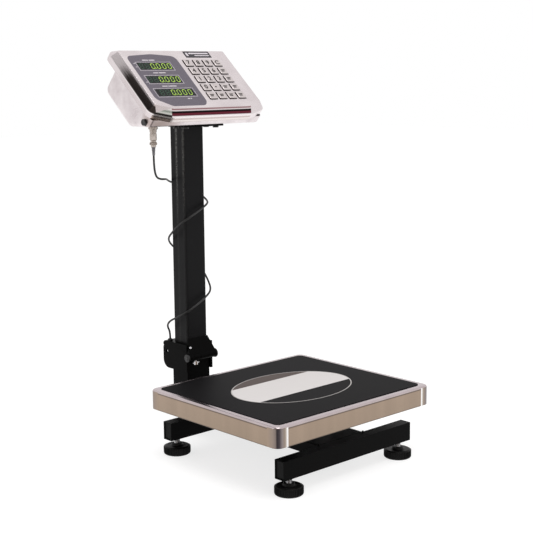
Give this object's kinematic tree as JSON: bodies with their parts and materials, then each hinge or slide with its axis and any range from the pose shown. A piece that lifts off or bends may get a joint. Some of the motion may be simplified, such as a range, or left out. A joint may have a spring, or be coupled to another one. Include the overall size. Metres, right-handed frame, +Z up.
{
  "type": "platform shipping scale",
  "caption": "Platform shipping scale with a stainless pan on a levelled steel base, a fold-down mast, a tilted keypad and display head, and a lead wound round the mast.",
  "frame": {"origin": "on the floor, at the centre of the object's overall footprint", "axes": "+Z up, +X to the right facing the keys, +Y from the platform towards the mast"},
  "size_m": [0.342, 0.4678, 0.6597],
  "materials": {
    "powder_coat": "satin black powder coat on steel",
    "textured_coat": "fine textured black powder coat",
    "black_plastic": "moulded black plastic",
    "foot_plastic": "moulded black plastic with a ribbed rim",
    "zinc_steel": "bright zinc plated steel",
    "cell_aluminium": "milled aluminium",
    "pad_rubber": "moulded rubber",
    "pan_stainless": "bright stainless steel sheet",
    "printed_mat": "black mat with a printed oval",
    "chrome": "polished plating",
    "head_stainless": "satin stainless steel sheet",
    "overlay_film": "printed polyester film with clear windows",
    "circuit_board": "green fibreglass board",
    "battery_case": "moulded battery case",
    "grey_rubber": "grey moulded strain relief",
    "lead_sheath": "black PVC sheath",
    "key_metal": "satin metal key caps with printed legends"
  },
  "bodies": {
    "base": {"front_beam": "powder_coat", "rear_beam": "powder_coat", "beam_end_plugs": "black_plastic", "foot_nuts": "zinc_steel", "spine": "powder_coat", "post": "powder_coat", "load_cell": "cell_aluminium", "cell_spacers": "zinc_steel", "support_rails": "powder_coat", "support_crossbars": "powder_coat", "pan_pads": "pad_rubber", "hinge_lug": "powder_coat", "pivot_bolt": "zinc_steel"},
    "pan_tray": {"pan": "pan_stainless", "pan_mat": "printed_mat"},
    "clamp": {"clamp_screw": "chrome"},
    "mast": {"hinge_yoke": "powder_coat", "column": "textured_coat", "head_plate": "powder_coat", "head_screws": "zinc_steel", "head_cover": "head_stainless", "head_box": "head_stainless", "display_overlay": "overlay_film", "display_board": "circuit_board", "keypad_board": "circuit_board", "battery": "battery_case", "lead_socket": "chrome", "lead_plug": "chrome", "lead_boot": "grey_rubber", "lead": "lead_sheath", "lead_grommet": "pad_rubber"},
    "power": {"power_button": "black_plastic"},
    "stud_front_left": {"foot_stud_front_left": "chrome"},
    "disc_front_left": {"foot_disc_front_left": "foot_plastic"},
    "stud_front_right": {"foot_stud_front_right": "chrome"},
    "disc_front_right": {"foot_disc_front_right": "foot_plastic"},
    "stud_rear_left": {"foot_stud_rear_left": "chrome"},
    "disc_rear_left": {"foot_disc_rear_left": "foot_plastic"},
    "stud_rear_right": {"foot_stud_rear_right": "chrome"},
    "disc_rear_right": {"foot_disc_rear_right": "foot_plastic"},
    "key_1_1": {"key_1_1": "key_metal"},
    "key_1_2": {"key_1_2": "key_metal"},
    "key_1_3": {"key_1_3": "key_metal"},
    "key_1_4": {"key_1_4": "key_metal"},
    "key_2_1": {"key_2_1": "key_metal"},
    "key_2_2": {"key_2_2": "key_metal"},
    "key_2_3": {"key_2_3": "key_metal"},
    "key_2_4": {"key_2_4": "key_metal"},
    "key_3_1": {"key_3_1": "key_metal"},
    "key_3_2": {"key_3_2": "key_metal"},
    "key_3_3": {"key_3_3": "key_metal"},
    "key_3_4": {"key_3_4": "key_metal"},
    "key_4_1": {"key_4_1": "key_metal"},
    "key_4_2": {"key_4_2": "key_metal"},
    "key_4_3": {"key_4_3": "key_metal"},
    "key_4_4": {"key_4_4": "key_metal"},
    "key_5_1": {"key_5_1": "key_metal"},
    "key_5_2": {"key_5_2": "key_metal"},
    "key_5_3": {"key_5_3": "key_metal"},
    "key_5_4": {"key_5_4": "key_metal"}
  },
  "joints": [
    {"name": "mast_fold", "type": "hinge", "parent": "base", "child": "mast", "pos_m": [0, 0.1425, 0.13], "axis": [1, 0, 0], "range_deg": [0, 90]},
    {"name": "pan_lift", "type": "slide", "parent": "base", "child": "pan_tray", "axis": [0, 0, 1], "range_m": [0, 0.008]},
    {"name": "clamp_turn", "type": "hinge", "parent": "base", "child": "clamp", "pos_m": [-0.013, 0.1425, 0.117], "axis": [0, 0, 1], "range_deg": [0, 90]},
    {"name": "power_press", "type": "slide", "parent": "mast", "child": "power", "axis": [1, 0, 0], "range_m": [0, 0.0015], "stiffness_N_per_m": 600, "springref_m": -0.001},
    {"name": "key_1_1_press", "type": "slide", "parent": "mast", "child": "key_1_1", "axis": [0, 0.6626, -0.749], "range_m": [0, 0.0012], "stiffness_N_per_m": 400, "springref_m": -0.001},
    {"name": "key_1_2_press", "type": "slide", "parent": "mast", "child": "key_1_2", "axis": [0, 0.6626, -0.749], "range_m": [0, 0.0012], "stiffness_N_per_m": 400, "springref_m": -0.001},
    {"name": "key_1_3_press", "type": "slide", "parent": "mast", "child": "key_1_3", "axis": [0, 0.6626, -0.749], "range_m": [0, 0.0012], "stiffness_N_per_m": 400, "springref_m": -0.001},
    {"name": "key_1_4_press", "type": "slide", "parent": "mast", "child": "key_1_4", "axis": [0, 0.6626, -0.749], "range_m": [0, 0.0012], "stiffness_N_per_m": 400, "springref_m": -0.001},
    {"name": "key_2_1_press", "type": "slide", "parent": "mast", "child": "key_2_1", "axis": [0, 0.6626, -0.749], "range_m": [0, 0.0012], "stiffness_N_per_m": 400, "springref_m": -0.001},
    {"name": "key_2_2_press", "type": "slide", "parent": "mast", "child": "key_2_2", "axis": [0, 0.6626, -0.749], "range_m": [0, 0.0012], "stiffness_N_per_m": 400, "springref_m": -0.001},
    {"name": "key_2_3_press", "type": "slide", "parent": "mast", "child": "key_2_3", "axis": [0, 0.6626, -0.749], "range_m": [0, 0.0012], "stiffness_N_per_m": 400, "springref_m": -0.001},
    {"name": "key_2_4_press", "type": "slide", "parent": "mast", "child": "key_2_4", "axis": [0, 0.6626, -0.749], "range_m": [0, 0.0012], "stiffness_N_per_m": 400, "springref_m": -0.001},
    {"name": "key_3_1_press", "type": "slide", "parent": "mast", "child": "key_3_1", "axis": [0, 0.6626, -0.749], "range_m": [0, 0.0012], "stiffness_N_per_m": 400, "springref_m": -0.001},
    {"name": "key_3_2_press", "type": "slide", "parent": "mast", "child": "key_3_2", "axis": [0, 0.6626, -0.749], "range_m": [0, 0.0012], "stiffness_N_per_m": 400, "springref_m": -0.001},
    {"name": "key_3_3_press", "type": "slide", "parent": "mast", "child": "key_3_3", "axis": [0, 0.6626, -0.749], "range_m": [0, 0.0012], "stiffness_N_per_m": 400, "springref_m": -0.001},
    {"name": "key_3_4_press", "type": "slide", "parent": "mast", "child": "key_3_4", "axis": [0, 0.6626, -0.749], "range_m": [0, 0.0012], "stiffness_N_per_m": 400, "springref_m": -0.001},
    {"name": "key_4_1_press", "type": "slide", "parent": "mast", "child": "key_4_1", "axis": [0, 0.6626, -0.749], "range_m": [0, 0.0012], "stiffness_N_per_m": 400, "springref_m": -0.001},
    {"name": "key_4_2_press", "type": "slide", "parent": "mast", "child": "key_4_2", "axis": [0, 0.6626, -0.749], "range_m": [0, 0.0012], "stiffness_N_per_m": 400, "springref_m": -0.001},
    {"name": "key_4_3_press", "type": "slide", "parent": "mast", "child": "key_4_3", "axis": [0, 0.6626, -0.749], "range_m": [0, 0.0012], "stiffness_N_per_m": 400, "springref_m": -0.001},
    {"name": "key_4_4_press", "type": "slide", "parent": "mast", "child": "key_4_4", "axis": [0, 0.6626, -0.749], "range_m": [0, 0.0012], "stiffness_N_per_m": 400, "springref_m": -0.001},
    {"name": "key_5_1_press", "type": "slide", "parent": "mast", "child": "key_5_1", "axis": [0, 0.6626, -0.749], "range_m": [0, 0.0012], "stiffness_N_per_m": 400, "springref_m": -0.001},
    {"name": "key_5_2_press", "type": "slide", "parent": "mast", "child": "key_5_2", "axis": [0, 0.6626, -0.749], "range_m": [0, 0.0012], "stiffness_N_per_m": 400, "springref_m": -0.001},
    {"name": "key_5_3_press", "type": "slide", "parent": "mast", "child": "key_5_3", "axis": [0, 0.6626, -0.749], "range_m": [0, 0.0012], "stiffness_N_per_m": 400, "springref_m": -0.001},
    {"name": "key_5_4_press", "type": "slide", "parent": "mast", "child": "key_5_4", "axis": [0, 0.6626, -0.749], "range_m": [0, 0.0012], "stiffness_N_per_m": 400, "springref_m": -0.001},
    {"name": "foot_height_front_left", "type": "slide", "parent": "base", "child": "stud_front_left", "axis": [0, 0, -1], "range_m": [-0.0075, 0.009]},
    {"name": "foot_turn_front_left", "type": "hinge", "parent": "stud_front_left", "child": "disc_front_left", "pos_m": [-0.123, -0.2074, 0.009], "axis": [0, 0, 1], "range_deg": [-2160, 1800]},
    {"name": "foot_height_front_right", "type": "slide", "parent": "base", "child": "stud_front_right", "axis": [0, 0, -1], "range_m": [-0.0075, 0.009]},
    {"name": "foot_turn_front_right", "type": "hinge", "parent": "stud_front_right", "child": "disc_front_right", "pos_m": [0.123, -0.2074, 0.009], "axis": [0, 0, 1], "range_deg": [-2160, 1800]},
    {"name": "foot_height_rear_left", "type": "slide", "parent": "base", "child": "stud_rear_left", "axis": [0, 0, -1], "range_m": [-0.0075, 0.009]},
    {"name": "foot_turn_rear_left", "type": "hinge", "parent": "stud_rear_left", "child": "disc_rear_left", "pos_m": [-0.123, 0.06, 0.009], "axis": [0, 0, 1], "range_deg": [-2160, 1800]},
    {"name": "foot_height_rear_right", "type": "slide", "parent": "base", "child": "stud_rear_right", "axis": [0, 0, -1], "range_m": [-0.0075, 0.009]},
    {"name": "foot_turn_rear_right", "type": "hinge", "parent": "stud_rear_right", "child": "disc_rear_right", "pos_m": [0.123, 0.06, 0.009], "axis": [0, 0, 1], "range_deg": [-2160, 1800]}
  ],
  "couplings": [
    {"joint": "foot_turn_front_left", "follows": "foot_height_front_left", "rad_per_m": -4188.8},
    {"joint": "foot_turn_front_right", "follows": "foot_height_front_right", "rad_per_m": -4188.8},
    {"joint": "foot_turn_rear_left", "follows": "foot_height_rear_left", "rad_per_m": -4188.8},
    {"joint": "foot_turn_rear_right", "follows": "foot_height_rear_right", "rad_per_m": -4188.8}
  ]
}
